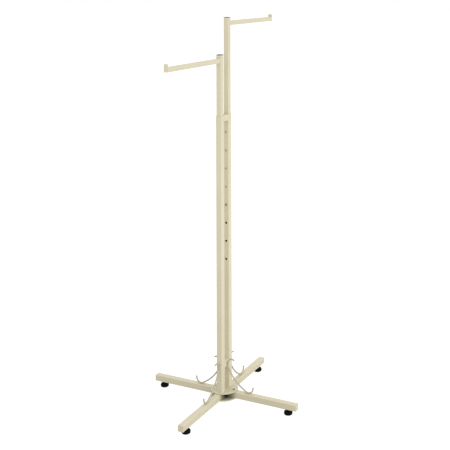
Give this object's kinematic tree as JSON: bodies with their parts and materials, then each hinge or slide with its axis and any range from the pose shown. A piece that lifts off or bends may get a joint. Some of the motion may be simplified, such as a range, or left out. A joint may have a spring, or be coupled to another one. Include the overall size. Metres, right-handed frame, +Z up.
{
  "type": "two arm garment rack",
  "caption": "Free-standing garment rack of painted square tube on a crossed base with levelling feet and wire hooks, straight arms on sliding uprights locked by spring buttons.",
  "frame": {"origin": "on the floor, on the column's axis midway between the two posts", "axes": "+Z up; +Y from the column toward the higher, back arm; +X toward the right-hand leg"},
  "size_m": [0.673, 0.8504, 1.6047],
  "materials": {
    "almond_paint": "semi-gloss almond powder coat",
    "zinc_plate": "bright zinc plate",
    "spring_steel": "bare spring steel",
    "black_steel": "black oxide",
    "black_plastic": "moulded black plastic"
  },
  "bodies": {
    "base_frame": {"upper_plate": "almond_paint", "lower_plate": "almond_paint", "left_leg": "almond_paint", "right_leg": "almond_paint", "front_leg": "almond_paint", "back_leg": "almond_paint", "left_leg_cap": "almond_paint", "right_leg_cap": "almond_paint", "front_leg_cap": "almond_paint", "back_leg_cap": "almond_paint", "side_leg_bolts": "zinc_plate", "side_leg_nuts": "zinc_plate", "post_bolts": "zinc_plate", "post_nuts": "zinc_plate", "front_post": "almond_paint", "back_post": "almond_paint", "top_brace": "almond_paint", "hook_brace": "almond_paint", "left_hook": "almond_paint", "right_hook": "almond_paint", "front_hook": "almond_paint", "back_hook": "almond_paint", "foot_nuts": "zinc_plate"},
    "front_upright_with_arm": {"front_upright": "almond_paint", "front_arm": "almond_paint", "front_arm_end": "almond_paint", "front_upright_plug": "black_plastic", "front_button_spring": "spring_steel"},
    "front_snap_button": {"front_button": "zinc_plate"},
    "back_upright_with_arm": {"back_upright": "almond_paint", "back_arm": "almond_paint", "back_arm_end": "almond_paint", "back_upright_plug": "black_plastic", "back_button_spring": "spring_steel"},
    "back_snap_button": {"back_button": "zinc_plate"},
    "left_foot": {"left_foot_pad": "black_plastic"},
    "left_foot_screw": {"left_foot_stud": "black_steel"},
    "right_foot": {"right_foot_pad": "black_plastic"},
    "right_foot_screw": {"right_foot_stud": "black_steel"},
    "front_foot": {"front_foot_pad": "black_plastic"},
    "front_foot_screw": {"front_foot_stud": "black_steel"},
    "back_foot": {"back_foot_pad": "black_plastic"},
    "back_foot_screw": {"back_foot_stud": "black_steel"}
  },
  "joints": [
    {"name": "front_upright_slide", "type": "slide", "parent": "base_frame", "child": "front_upright_with_arm", "axis": [0, 0, 1], "range_m": [-0.0762, 0.4572], "deforming": ["front_button"]},
    {"name": "front_button_press", "type": "slide", "parent": "front_upright_with_arm", "child": "front_snap_button", "axis": [0, -1, 0], "range_m": [0, 0.0042], "stiffness_N_per_m": 2500, "springref_m": -0.002, "deforming": ["front_button_spring"]},
    {"name": "back_upright_slide", "type": "slide", "parent": "base_frame", "child": "back_upright_with_arm", "axis": [0, 0, 1], "range_m": [-0.2286, 0.3048], "deforming": ["back_button"]},
    {"name": "back_button_press", "type": "slide", "parent": "back_upright_with_arm", "child": "back_snap_button", "axis": [0, 1, 0], "range_m": [0, 0.0042], "stiffness_N_per_m": 2500, "springref_m": -0.002, "deforming": ["back_button_spring"]},
    {"name": "left_foot_height", "type": "slide", "parent": "base_frame", "child": "left_foot", "axis": [0, 0, 1], "range_m": [-0.01, 0]},
    {"name": "left_foot_turn", "type": "hinge", "parent": "left_foot", "child": "left_foot_screw", "pos_m": [-0.297, 0, 0.02], "axis": [0, 0, 1], "range_deg": [-2880, 0]},
    {"name": "right_foot_height", "type": "slide", "parent": "base_frame", "child": "right_foot", "axis": [0, 0, 1], "range_m": [-0.01, 0]},
    {"name": "right_foot_turn", "type": "hinge", "parent": "right_foot", "child": "right_foot_screw", "pos_m": [0.297, 0, 0.02], "axis": [0, 0, 1], "range_deg": [-2880, 0]},
    {"name": "front_foot_height", "type": "slide", "parent": "base_frame", "child": "front_foot", "axis": [0, 0, 1], "range_m": [-0.01, 0]},
    {"name": "front_foot_turn", "type": "hinge", "parent": "front_foot", "child": "front_foot_screw", "pos_m": [0, -0.297, 0.02], "axis": [0, 0, 1], "range_deg": [-2880, 0]},
    {"name": "back_foot_height", "type": "slide", "parent": "base_frame", "child": "back_foot", "axis": [0, 0, 1], "range_m": [-0.01, 0]},
    {"name": "back_foot_turn", "type": "hinge", "parent": "back_foot", "child": "back_foot_screw", "pos_m": [0, 0.297, 0.02], "axis": [0, 0, 1], "range_deg": [-2880, 0]}
  ],
  "couplings": [
    {"joint": "left_foot_turn", "follows": "left_foot_height", "rad_per_m": 5026.5},
    {"joint": "right_foot_turn", "follows": "right_foot_height", "rad_per_m": 5026.5},
    {"joint": "front_foot_turn", "follows": "front_foot_height", "rad_per_m": 5026.5},
    {"joint": "back_foot_turn", "follows": "back_foot_height", "rad_per_m": 5026.5}
  ]
}
